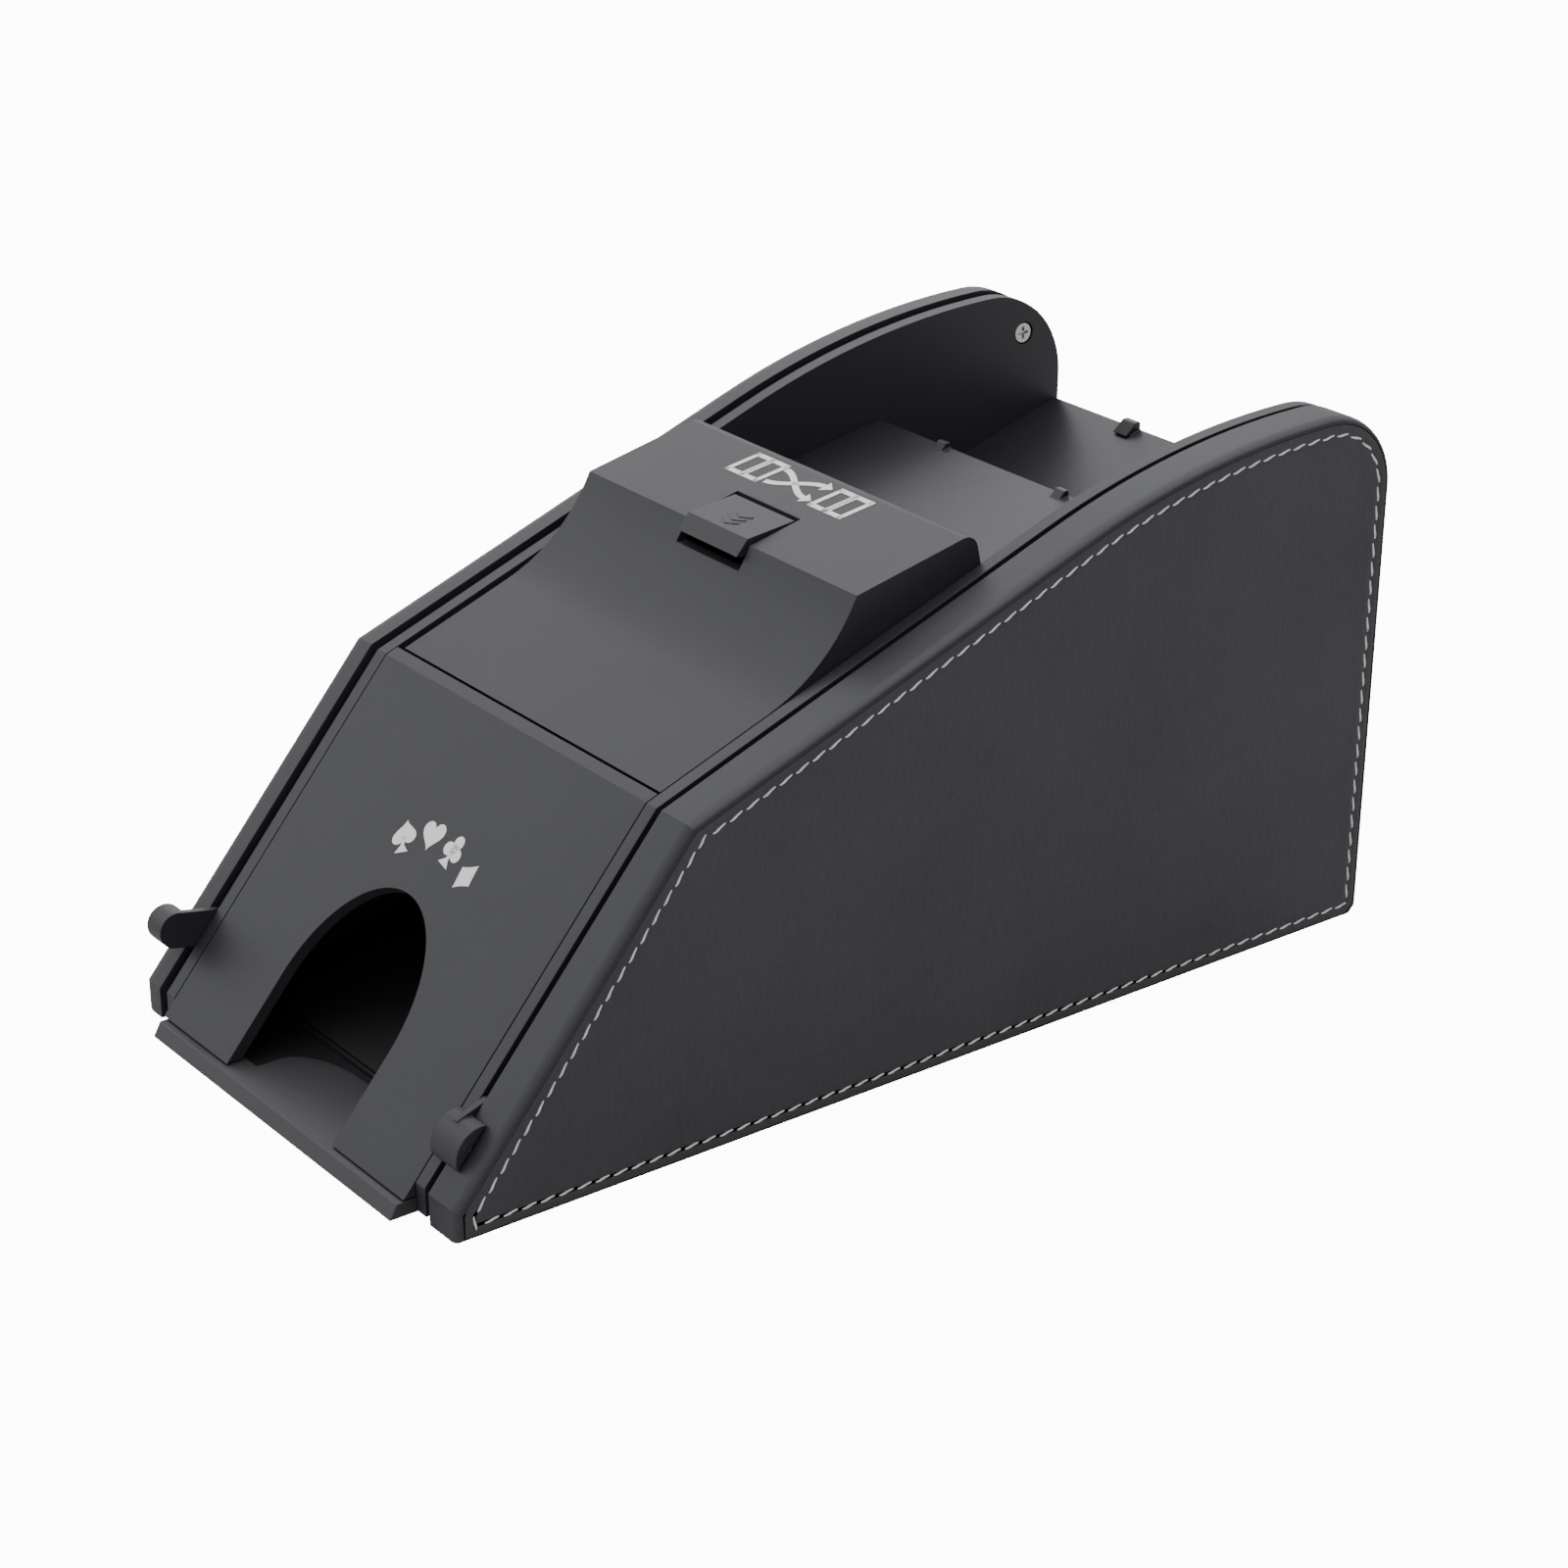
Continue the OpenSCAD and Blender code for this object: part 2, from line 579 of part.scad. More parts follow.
module circuit_board() {
    z = z_base + base_t;
    color("darkgreen") translate([x_mid - 20, -5, z + 2]) cube([40, 26, 1.6]);
    color(soot) {
        translate([x_mid - 12, 2, z + 3.6]) cube([10, 6, 1.6]);
        translate([x_mid + 6, 6, z + 3.6]) cube([6, 6, 4]);
    }
    color(pale) for (x = [-17, 17]) translate([x_mid + x, 8, z]) cylinder(h = 2, r = 2);
}

// Levers: each has an arm in the joint beside the wall, and turns on a pin
module arm(x, from, to, r) {
    turn = atan2(to[1] - from[1], to[0] - from[0]);
    across = [-sin(turn), cos(turn)] * (r - 0.05);
    along_x(x, x + lever_t) polygon([from - across, to - across, to + across, from + across]);
}
module left_lever() {
    x = xl_wall_out - 0.3 - lever_t;
    lobe = on_slope(left_pivot_s + lobe_reach * cos(raised_angle),
        pivot_h + lobe_reach * sin(raised_angle));
    color(dark) difference() {
        union() {
            arm(x, left_pivot, lobe, lobe_r);
            rod(x, x + lever_t, left_pivot, lobe_r);
            rod(x - lobe_l, x + lever_t, lobe, lobe_r);
        }
        rod(x - lobe_l - 1, x + lever_t + 1, left_pivot, pin_r + fit);
    }
}
module right_lever() {
    x = xr_wall_out + 0.3;
    bow = (paddle_l * paddle_l / 4 + paddle_h * paddle_h) / (2 * paddle_h);
    half = asin(paddle_l / 2 / bow);
    middle = paddle_s + paddle_l / 2;
    color(dark) difference() {
        union() {
            along_x(paddle_x[0], paddle_x[1]) polygon([for (i = [0 : 16]) let (a = half * (i / 8 - 1))
                on_slope(middle + bow * sin(a), paddle_lift + paddle_h - bow * (1 - cos(a)))]);
            rod(x, x + lever_t, right_pivot, hub_r);
            arm(x, right_pivot, on_slope(paddle_s + 3.6, paddle_lift + 0.6), hub_r);
        }
        rod(x - 1, x + lever_t + 1, right_pivot, pin_r + fit);
    }
}
module lever_pins() {
    color(steel) {
        rod(xl_shell - 2, xl_wall_out + 1.5, left_pivot, pin_r - 0.01);
        rod(xr_wall_out - 1.5, xr_shell + 2, right_pivot, pin_r - 0.01);
    }
}

// Screws: on each side one in the upper rear corner and one low at the front, heads towards the cards
module screw(x, side, at) {
    turn = side > 0 ? 0 : 180;
    translate([x, at[0], at[1]]) rotate([0, 0, turn]) {
        difference() {
            translate([0.3, 0, 0]) rotate([0, 90, 0]) cylinder(h = head_t, r = head_r);
            for (r = [0, 90]) rotate([r, 0, 0]) translate([0, -1.4, -0.3]) cube([0.9, 2.8, 0.6]);
        }
        translate([seat, 0, 0]) rotate([0, 90, 0]) cylinder(h = wall_t + wall_gap + 0.6, r = 1.4);
    }
}
module left_screws() { color(steel) for (p = screw_points) screw(xl_wall, -1, p); }
module right_screws() { color(steel) for (p = screw_points) screw(xr_wall, 1, p); }

// Rubber feet
module foot(x, y) {
    color(rubber) translate([x, y, 0]) cylinder(h = foot_h, r = foot_r);
}
foot_r = 6.8;
foot_x = 36;
foot_y = 100;
module foot_front_left() { foot(x_mid - foot_x, -foot_y); }
module foot_front_right() { foot(x_mid + foot_x, -foot_y); }
module foot_rear_left() { foot(x_mid - foot_x, foot_y + 8); }
module foot_rear_right() { foot(x_mid + foot_x, foot_y + 8); }

left_shell();
right_shell();
left_leather();
right_leather();
left_wall();
right_wall();
base_plate();
rear_panel();
deal_lip();
shoe_floor();
front_cover();
middle_cover();
shuffle_button();
button_pin();
micro_switch();
upper_tray();
lower_tray();
upper_gate();
lower_gate();
upper_shaft();
upper_tyres();
lower_shaft();
lower_tyres();
upper_gear();
lower_gear();
idler_gear();
reduction_gear();
gear_posts();
motor();
motor_rotor();
battery_box();
battery_contacts();
cell_1();
cell_2();
cell_3();
cell_4();
battery_door();
circuit_board();
left_lever();
right_lever();
lever_pins();
left_screws();
right_screws();
foot_front_left();
foot_front_right();
foot_rear_left();
foot_rear_right();
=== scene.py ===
"""Looks of the automatic card shuffler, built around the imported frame. Metres, +Z up."""

import json
import math

import bmesh
import bpy
from mathutils import Matrix, Vector, noise


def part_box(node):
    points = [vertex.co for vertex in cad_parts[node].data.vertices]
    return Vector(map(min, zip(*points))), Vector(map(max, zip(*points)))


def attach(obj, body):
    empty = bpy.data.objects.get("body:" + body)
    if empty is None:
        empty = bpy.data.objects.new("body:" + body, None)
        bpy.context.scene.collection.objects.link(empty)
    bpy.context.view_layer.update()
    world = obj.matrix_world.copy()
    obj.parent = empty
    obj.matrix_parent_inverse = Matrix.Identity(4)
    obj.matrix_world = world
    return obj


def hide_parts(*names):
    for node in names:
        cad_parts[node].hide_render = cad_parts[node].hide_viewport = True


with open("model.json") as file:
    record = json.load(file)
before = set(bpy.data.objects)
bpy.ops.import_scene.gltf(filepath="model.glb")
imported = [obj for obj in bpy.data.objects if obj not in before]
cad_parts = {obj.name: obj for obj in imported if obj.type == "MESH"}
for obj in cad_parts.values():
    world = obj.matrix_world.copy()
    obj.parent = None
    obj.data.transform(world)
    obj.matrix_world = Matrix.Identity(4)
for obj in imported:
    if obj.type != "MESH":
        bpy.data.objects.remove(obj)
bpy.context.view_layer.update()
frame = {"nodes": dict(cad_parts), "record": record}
NODES = frame["nodes"]
MM = 0.001
RECORD = frame["record"]
BODY = {member: body for body, members in RECORD["behaviour"]["bodies"].items() for member in members}
ALONG_X = Vector((1, 0, 0))


# ---------------------------------------------------------------- materials


def new_material(name):
    mat = bpy.data.materials.new(name)
    mat.use_nodes = True
    tree = mat.node_tree
    tree.nodes.clear()
    out = tree.nodes.new("ShaderNodeOutputMaterial")
    bsdf = tree.nodes.new("ShaderNodeBsdfPrincipled")
    tree.links.new(bsdf.outputs[0], out.inputs[0])
    return mat, tree, bsdf


def add(tree, kind, **values):
    node = tree.nodes.new(kind)
    for key, value in values.items():
        if hasattr(node, key):
            setattr(node, key, value)
        else:
            node.inputs[key.replace("_", " ")].default_value = value
    return node


def place(tree, stretch=(1, 1, 1)):
    """Object coordinates in millimetres, stretched where a grain runs one way."""
    coord = tree.nodes.new("ShaderNodeTexCoord")
    mapping = tree.nodes.new("ShaderNodeMapping")
    mapping.inputs["Scale"].default_value = [s / MM for s in stretch]
    tree.links.new(coord.outputs["Object"], mapping.inputs["Vector"])
    return mapping.outputs[0]


def noise_of(tree, where, scale, detail=3.0, rough=0.55):
    node = add(tree, "ShaderNodeTexNoise", Scale=scale, Detail=detail, Roughness=rough)
    tree.links.new(where, node.inputs["Vector"])
    return node.outputs["Fac"]


def ramp(tree, fac, low, high, a, b):
    node = add(tree, "ShaderNodeMapRange")
    node.inputs["From Min"].default_value = low
    node.inputs["From Max"].default_value = high
    node.inputs["To Min"].default_value = a
    node.inputs["To Max"].default_value = b
    tree.links.new(fac, node.inputs["Value"])
    return node.outputs[0]


def tint(tree, fac, dark, light):
    mix = add(tree, "ShaderNodeMix", data_type="RGBA")
    mix.inputs[6].default_value = (*dark, 1)
    mix.inputs[7].default_value = (*light, 1)
    tree.links.new(fac, mix.inputs[0])
    return mix.outputs[2]


def relief(tree, height, strength, distance, under=None):
    bump = add(tree, "ShaderNodeBump")
    bump.inputs["Strength"].default_value = strength
    bump.inputs["Distance"].default_value = distance
    tree.links.new(height, bump.inputs["Height"])
    if under is not None:
        tree.links.new(under, bump.inputs["Normal"])
    return bump.outputs[0]


def plastic(name, colour, rough, grain=7.0, depth=0.25, spread=0.12, specular=0.5):
    """Moulded plastic with a fine spark-eroded texture and faint cloudiness."""
    mat, tree, bsdf = new_material(name)
    where = place(tree)
    cloud = noise_of(tree, where, 0.05, 2.0)
    fine = noise_of(tree, where, grain, 2.0, 0.6)
    dark = [c * (1 - spread) for c in colour]
    light = [c * (1 + spread) for c in colour]
    tree.links.new(tint(tree, cloud, dark, light), bsdf.inputs["Base Color"])
    tree.links.new(ramp(tree, fine, 0.3, 0.7, rough - 0.05, rough + 0.05), bsdf.inputs["Roughness"])
    tree.links.new(relief(tree, fine, depth, 0.00003), bsdf.inputs["Normal"])
    bsdf.inputs["Specular IOR Level"].default_value = specular
    return mat


def leather(name, colour):
    """Pressed leather: small pebbles, fine creases that run upright, and a faint cloud of wear."""
    mat, tree, bsdf = new_material(name)
    where = place(tree)
    upright = place(tree, (1, 1, 0.22))
    pebble = add(tree, "ShaderNodeTexVoronoi", feature="F1", Scale=1.7, Randomness=1.0)
    tree.links.new(where, pebble.inputs["Vector"])
    crease = noise_of(tree, upright, 1.1, 5.0, 0.62)
    cloud = noise_of(tree, where, 0.03, 3.0)
    fine = noise_of(tree, where, 6.0, 2.0)
    dark = [c * 0.86 for c in colour]
    light = [c * 1.15 for c in colour]
    mixed = add(tree, "ShaderNodeMath", operation="ADD")
    tree.links.new(ramp(tree, cloud, 0.3, 0.7, 0.0, 0.6), mixed.inputs[0])
    tree.links.new(ramp(tree, crease, 0.35, 0.65, 0.0, 0.4), mixed.inputs[1])
    tree.links.new(tint(tree, mixed.outputs[0], dark, light), bsdf.inputs["Base Color"])
    tree.links.new(ramp(tree, fine, 0.3, 0.7, 0.5, 0.62), bsdf.inputs["Roughness"])
    one = relief(tree, pebble.outputs["Distance"], 0.5, 0.00009)
    two = relief(tree, crease, 0.5, 0.00018, one)
    tree.links.new(relief(tree, fine, 0.2, 0.00003, two), bsdf.inputs["Normal"])
    bsdf.inputs["Specular IOR Level"].default_value = 0.4
    return mat


def metal(name, colour, rough, brushed=(1, 1, 1)):
    mat, tree, bsdf = new_material(name)
    where = place(tree, brushed)
    marks = noise_of(tree, where, 3.0, 4.0, 0.6)
    dark = [c * 0.88 for c in colour]
    tree.links.new(tint(tree, marks, dark, colour), bsdf.inputs["Base Color"])
    tree.links.new(ramp(tree, marks, 0.3, 0.7, rough - 0.06, rough + 0.08), bsdf.inputs["Roughness"])
    tree.links.new(relief(tree, marks, 0.08, 0.00002), bsdf.inputs["Normal"])
    bsdf.inputs["Metallic"].default_value = 1.0
    return mat


def woven_thread(name):
    """Waxed thread: two plies of fine fibre, slightly uneven in colour."""
    mat, tree, bsdf = new_material(name)
    where = place(tree)
    fibre = noise_of(tree, where, 9.0, 3.0)
    tree.links.new(tint(tree, fibre, (0.86, 0.86, 0.86), (0.96, 0.96, 0.96)), bsdf.inputs["Base Color"])
    tree.links.new(relief(tree, fibre, 0.4, 0.00006), bsdf.inputs["Normal"])
    bsdf.inputs["Roughness"].default_value = 0.62
    bsdf.inputs["Sheen Weight"].default_value = 0.2
    return mat


CHARCOAL = (0.028, 0.028, 0.033)
MATS = {
    "shell": plastic("satin_charcoal", CHARCOAL, 0.46),
    "cover": plastic("satin_charcoal_cover", CHARCOAL, 0.48),
    # The deal lip is the same charcoal plastic made lighter: a painted highlight for the light its top
    # catches.
    "lip": plastic("satin_charcoal_lip_painted_highlight", (0.045, 0.045, 0.049), 0.46),
    "inner": plastic("plain_black", (0.018, 0.018, 0.02), 0.6, specular=0.3),
    "tray": plastic("tray_black", (0.022, 0.022, 0.026), 0.36),
    "leather": leather("charcoal_leather", (0.058, 0.058, 0.063)),
    "thread": woven_thread("white_thread"),
    "print": plastic("white_print", (0.98, 0.98, 0.98), 0.45, 12.0, 0.1, 0.02),
    "steel": metal("nickel_steel", (0.66, 0.65, 0.63), 0.28),
    "shaft": metal("ground_steel", (0.6, 0.6, 0.61), 0.22, (0.1, 1, 1)),
    "brass": metal("turned_brass", (0.78, 0.6, 0.28), 0.3),
    "rubber": plastic("soft_rubber", (0.012, 0.012, 0.012), 0.78, 4.0, 0.5, 0.2, 0.3),
    "gear": plastic("gear_white", (0.72, 0.71, 0.66), 0.42, 5.0, 0.15, 0.04),
    "film": plastic("cell_film", (0.06, 0.08, 0.1), 0.25, 9.0, 0.05, 0.1),
    "board": plastic("board_lacquer", (0.02, 0.14, 0.06), 0.3, 3.0, 0.2, 0.1),
}

# ---------------------------------------------------------------- mesh helpers

HARD_EDGE = math.radians(28)
SHARP_SHADING = math.radians(35)
FLAT_WITHIN = math.radians(0.6)

def link(name, mesh, body, mat, replaced=()):
    obj = bpy.data.objects.new(name, mesh)
    bpy.context.scene.collection.objects.link(obj)
    obj.data.materials.clear()
    obj.data.materials.append(mat)
    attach(obj, body)
    if replaced:
        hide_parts(*replaced)
    return obj


def finish_mesh(bm, name, angle=35):
    bmesh.ops.recalc_face_normals(bm, faces=bm.faces)
    mesh = bpy.data.meshes.new(name)
    bm.to_mesh(mesh)
    bm.free()
    mesh.shade_smooth()
    mesh.set_sharp_from_angle(angle=math.radians(angle))
    return mesh


def refine(node, mat, width=0.3, segments=3, shape=None):
    """A copy of a CAD node whose hard edges are rounded as a mould would leave them."""
    bm = bmesh.new()
    bm.from_mesh(NODES[node].data)
    bmesh.ops.remove_doubles(bm, verts=bm.verts, dist=1e-6)
    bmesh.ops.dissolve_limit(bm, angle_limit=FLAT_WITHIN, verts=bm.verts, edges=bm.edges)
    bmesh.ops.recalc_face_normals(bm, faces=bm.faces)
    if shape:
        shape(bm)
    layer = bm.edges.layers.float.new("bevel_weight_edge")
    for edge in bm.edges:
        if len(edge.link_faces) == 2 and edge.calc_face_angle(0) > HARD_EDGE:
            edge[layer] = 1.0
    mesh = bpy.data.meshes.new(node + "_moulded")
    bm.to_mesh(mesh)
    bm.free()
    mesh.shade_smooth()
    obj = link(node + "_moulded", mesh, BODY[node], mat, (node,))
    bevel = obj.modifiers.new("edges", "BEVEL")
    bevel.width = width * MM
    bevel.segments = segments
    bevel.limit_method = "WEIGHT"
    bevel.harden_normals = True
    bevel.use_clamp_overlap = True
    bevel.miter_outer = "MITER_ARC"
    obj.modifiers.new("normals", "WEIGHTED_NORMAL").keep_sharp = True
    mesh.set_sharp_from_angle(angle=SHARP_SHADING)


def clip(points, normal, offset):
    """Part of a convex polygon on the inner side of a line."""
    kept = []
    for i, p in enumerate(points):
        q = points[(i + 1) % len(points)]
        a = normal.dot(p) - offset
        b = normal.dot(q) - offset
        if a <= 0:
            kept.append(p)
        if (a < 0 < b) or (b < 0 < a):
            kept.append(p.lerp(q, a / (a - b)))
    return kept


def outline(node):
    """Outline of a flat panel in (y, z), anticlockwise."""
    points = {(round(v.co.y, 7), round(v.co.z, 7)) for v in NODES[node].data.vertices}
    points = [Vector(p) for p in points]
    middle = sum(points, Vector((0, 0))) / len(points)
    points.sort(key=lambda p: math.atan2(p.y - middle.y, p.x - middle.x))
    return points


def inset(points, d):
    """The polygon moved inwards by d. It is convex, so each edge cuts on its own."""
    result = points
    for i, p in enumerate(points):
        q = points[(i + 1) % len(points)]
        along = q - p
        if along.length < 1e-6:
            continue
        along.normalize()
        normal = Vector((along.y, -along.x))
        result = clip(result, normal, normal.dot(p) - d)
    return result


def nearest(points, target):
    """The spot on a closed line that is nearest to a point."""
    best = None
    for i, p in enumerate(points):
        q = points[(i + 1) % len(points)]
        along = q - p
        square = along.length_squared
        t = 0 if square == 0 else max(0, min(1, (target - p).dot(along) / square))
        spot = p + along * t
        gap = (spot - target).length_squared
        if best is None or gap < best[0]:
            best = (gap, spot)
    return best[1]


def resample(points, pitch):
    """Points at an even pitch along a closed line, each with its direction."""
    lengths = [(points[(i + 1) % len(points)] - p).length for i, p in enumerate(points)]
    total = sum(lengths)
    count = round(total / pitch)
    step = total / count
    result = []
    i = 0
    start = 0.0
    for k in range(count):
        while start + lengths[i] < k * step:
            start += lengths[i]
            i += 1
        along = (points[(i + 1) % len(points)] - points[i]).normalized()
        result.append((points[i] + along * (k * step - start), along))
    return result


# ---------------------------------------------------------------- leather sides

# Millimetres. The panel's edge is rolled, and the thread lies in a shallow groove along it.
STITCH_IN, STITCH_PITCH = 2.3, 4.1
STITCH_HALF, STITCH_SLANT, STITCH_RISE = 1.86, 0.24, 0.30
THREAD_RADIUS, THREAD_SIDES, THREAD_SECTIONS = 0.235, 10, 12
GROOVE, GROOVE_REACH = 0.22, 0.55
ROLLED_EDGE = ((0.0, -0.42), (0.12, -0.18), (0.35, -0.05), (0.8, 0.0))
GROOVE_RINGS = (-1.3, -0.9, -0.6, -0.3, 0.0, 0.3, 0.6, 0.9, 1.3, 1.9)
OUTLINE_PITCH, FACE_PITCH = 1.5, 2.5
PUFF_START, PUFF_SINK, PUFF_HEIGHT = 2.2, 0.07, 0.05
ON_FACE = 1e-6


def inside_of(points, p):
    """Whether a point lies in a convex outline."""
    for i, a in enumerate(points):
        b = points[(i + 1) % len(points)]
        if (b - a).cross(p - a) < 0:
            return False
    return True


def rings_of_leather(bm, edge, base, face, sign):
    """The panel's wall, rolled edge and stitch groove, ring by ring, and its flat middle."""
    rings = [(0.0, -abs(face - base) / MM), *ROLLED_EDGE]
    for s in GROOVE_RINGS:
        rings.append((STITCH_IN + s, -GROOVE * math.exp(-((s / GROOVE_REACH) ** 2))))
    spots = [p for p, _ in resample(edge, OUTLINE_PITCH * MM)]
    previous = None
    for d, h in rings:
        if d > 0:
            inner = inset(edge, d * MM)
            spots = [nearest(inner, p) for p in spots]
        ring = [bm.verts.new((face + sign * h * MM, p.x, p.y)) for p in spots]
        if previous:
            for i, v in enumerate(ring):
                j = (i + 1) % len(ring)
                bm.faces.new((previous[i], previous[j], ring[j], v))
        previous = ring
    bm.faces.new(previous)
    bmesh.ops.remove_doubles(bm, verts=bm.verts, dist=2e-5)


def divide_face(bm, edge, face):
    """Cuts the flat middle into small squares, which the puff then moves."""
    for axis, normal in ((0, Vector((0, 1, 0))), (1, Vector((0, 0, 1)))):
        at = min(p[axis] for p in edge) + FACE_PITCH * MM
        while at < max(p[axis] for p in edge):
            flat = [f for f in bm.faces if all(abs(v.co.x - face) < ON_FACE for v in f.verts)
                    and f.calc_area() > 1e-6]
            if not flat:
                break
            geom = flat + list({e for f in flat for e in f.edges}) + list({v for f in flat for v in f.verts})
            bmesh.ops.bisect_plane(bm, geom=geom, dist=1e-7, plane_co=normal * at, plane_no=normal)
            at += FACE_PITCH * MM


def puff_face(bm, edge, face, sign):
    """Slow swells in the leather inside the stitches."""
    deep = inset(edge, (STITCH_IN + PUFF_START) * MM)
    for v in bm.verts:
        p = Vector((v.co.y, v.co.z))
        if abs(v.co.x - face) > ON_FACE or not inside_of(deep, p):
            continue
        broad = noise.noise(Vector((p.x * 40, p.y * 25, sign)))
        narrow = noise.noise(Vector((p.x * 190, p.y * 60, 5)))
        v.co.x += sign * MM * (-PUFF_SINK + PUFF_HEIGHT * (broad + 0.6 * narrow))


def leather_panel(node, sign):
    edge = outline(node)
    low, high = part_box(node)
    base, face = (low.x, high.x) if sign > 0 else (high.x, low.x)
    bm = bmesh.new()
    rings_of_leather(bm, edge, base, face, sign)
    divide_face(bm, edge, face)
    puff_face(bm, edge, face, sign)
    link(node + "_hide", finish_mesh(bm, node + "_hide", 60), "frame", MATS["leather"], (node,))


def stitches(node, sign):
    """A row of slanted two-ply stitches, each dipping into the leather at both ends."""
    edge = outline(node)
    low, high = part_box(node)
    face = (high.x if sign > 0 else low.x) - sign * GROOVE * MM
    bm = bmesh.new()
    for p, along in resample(inset(edge, STITCH_IN * MM), STITCH_PITCH * MM):
        across = Vector((-along.y, along.x))
        lines = []
        for i in range(THREAD_SECTIONS + 1):
            t = 2 * i / THREAD_SECTIONS - 1
            slant = STITCH_SLANT * math.sin(t * math.pi / 2) * sign
            middle = p + (along * STITCH_HALF * t + across * slant) * MM
            lift = STITCH_RISE * (1 - t ** 4) - GROOVE
            radius = THREAD_RADIUS * (1 - 0.45 * t ** 6)
            ring = []
            for k in range(THREAD_SIDES):
                a = 2 * math.pi * k / THREAD_SIDES
                ply = 1 + 0.13 * math.cos(2 * a - 5.5 * t)
                out = lift + radius * ply * math.sin(a) * 0.85
                q = middle + across * radius * ply * math.cos(a) * MM
                ring.append(bm.verts.new((face + sign * out * MM, q.x, q.y)))
            lines.append(ring)
        for i in range(THREAD_SECTIONS):
            for k in range(THREAD_SIDES):
                m = (k + 1) % THREAD_SIDES
                bm.faces.new((lines[i][k], lines[i][m], lines[i + 1][m], lines[i + 1][k]))
        bm.faces.new(lines[0])
        bm.faces.new(lines[-1])
    name = node.replace("leather", "stitching")
    link(name, finish_mesh(bm, name, 80), "frame", MATS["thread"])


for panel, side in (("right_leather", 1), ("left_leather", -1)):
    leather_panel(panel, side)
    stitches(panel, side)

# ---------------------------------------------------------------- mouldings

# Millimetres: how far the roll runs across the rim, and how far it drops. The cuts are parts of the way.
RIM_ACROSS, RIM_DOWN, ON_RIM = 2.6, 1.2, 0.02
RIM_CUTS = (0.0, 0.2, 0.38, 0.54, 0.68, 0.8, 0.89, 0.96)


def turn_at(a, b, c):
    """Above zero where the way from a over b to c turns left."""
    return (b[0] - a[0]) * (c[1] - a[1]) - (b[1] - a[1]) * (c[0] - a[0])


def hull_of(points):
    """Convex outline of points in (y, z), anticlockwise."""
    spots = sorted({(round(p[0], 7), round(p[1], 7)) for p in points})
    chains = []
    for order in (spots, spots[::-1]):
        chain = []
        for p in order:
            while len(chain) > 1 and turn_at(chain[-2], chain[-1], p) <= 1e-12:
                chain.pop()
            chain.append(p)
        chains += chain[:-1]
    return [Vector(p) for p in chains]


def round_rim(bm):
    """Rolls the outer edge of a shell over towards its leather, wider across than down."""
    edge = hull_of([(v.co.y, v.co.z) for v in bm.verts])
    reach = max(abs(v.co.x) for v in bm.verts)
    sign = 1 if max(v.co.x for v in bm.verts) > 0 else -1
    start = reach - RIM_ACROSS * MM
    for t in RIM_CUTS:
        geom = list(bm.verts) + list(bm.edges) + list(bm.faces)
        cut = ALONG_X * sign * (start + t * RIM_ACROSS * MM)
        bmesh.ops.bisect_plane(bm, geom=geom, dist=1e-7, plane_co=cut, plane_no=ALONG_X)
    rings = {}
    for v in bm.verts:
        t = (abs(v.co.x) - start) / (RIM_ACROSS * MM)
        p = Vector((v.co.y, v.co.z))
        if t < 0.01 or (nearest(edge, p) - p).length > ON_RIM * MM:
            continue
        key = round(t, 3)
        if key not in rings:
            rings[key] = inset(edge, RIM_DOWN * MM * (1 - math.sqrt(max(0.0, 1 - t * t))))
        v.co.y, v.co.z = nearest(rings[key], p)


for shell in ("right_shell", "left_shell"):
    refine(shell, MATS["shell"], 0.28, shape=round_rim)
# What is seen from outside: material, radius of the edges in millimetres, nodes.
for key, size, members in (
    ("shell", 0.28, ("left_wall", "right_wall")),
    ("cover", 0.3, ("front_cover",)),
    ("cover", 0.4, ("middle_cover",)),
    ("cover", 0.3, ("shuffle_button",)),
    # The deal lip takes the lighter copy of the charcoal plastic, a painted highlight.
    ("lip", 0.25, ("deal_lip",)),
    ("tray", 0.3, ("upper_tray", "lower_tray")),
    ("shell", 0.4, ("rear_panel",)),
    ("inner", 0.4, ("base_plate",)),
    ("inner", 0.3, ("shoe_floor",)),
    ("shell", 0.35, ("left_lever", "right_lever")),
    ("inner", 0.2, ("battery_door",)),
    ("inner", 0.3, ("battery_box",)),
    ("inner", 0.25, ("upper_gate", "lower_gate")),
):
    for member in members:
        refine(member, MATS[key], size)
# The mechanism and the fasteners have simpler edges.
for key, size, members in (
    ("steel", 0.12, ("left_screws", "right_screws")),
    ("shaft", 0.1, ("button_pin", "lever_pins", "gear_posts")),
    ("shaft", 0.2, ("upper_shaft", "lower_shaft")),
    ("rubber", 0.7, ("upper_tyres", "lower_tyres")),
    ("gear", 0.08, ("upper_gear", "lower_gear", "idler_gear", "reduction_gear")),
    ("steel", 0.6, ("motor",)),
    ("brass", 0.06, ("motor_rotor",)),
    ("steel", 0.05, ("battery_contacts",)),
    ("inner", 0.2, ("micro_switch",)),
    ("board", 0.1, ("circuit_board",)),
    ("film", 0.5, ("cell_1", "cell_2", "cell_3", "cell_4")),
    ("rubber", 0.5, ("foot_front_left", "foot_front_right", "foot_rear_left", "foot_rear_right")),
):
    for member in members:
        refine(member, MATS[key], size, 2)

# ---------------------------------------------------------------- printed pictograms

PRINT_RISE, PRINT_ROOT = 0.08, 0.05
SAME_WAY = 0.998


def plane_of(node, near, steer):
    """Origin, up-slope direction and normal of the flat face of a node nearest to a point."""
    steer = steer.normalized()
    best = None
    for face in NODES[node].data.polygons:
        if face.normal.dot(steer) < SAME_WAY:
            continue
        gap = (face.center - near).length - 1000 * face.area
        if best is None or gap < best[0]:
            best = (gap, face.normal.copy(), face.center.copy())
    normal = best[1].normalized()
    return best[2], normal.cross(ALONG_X).normalized(), normal


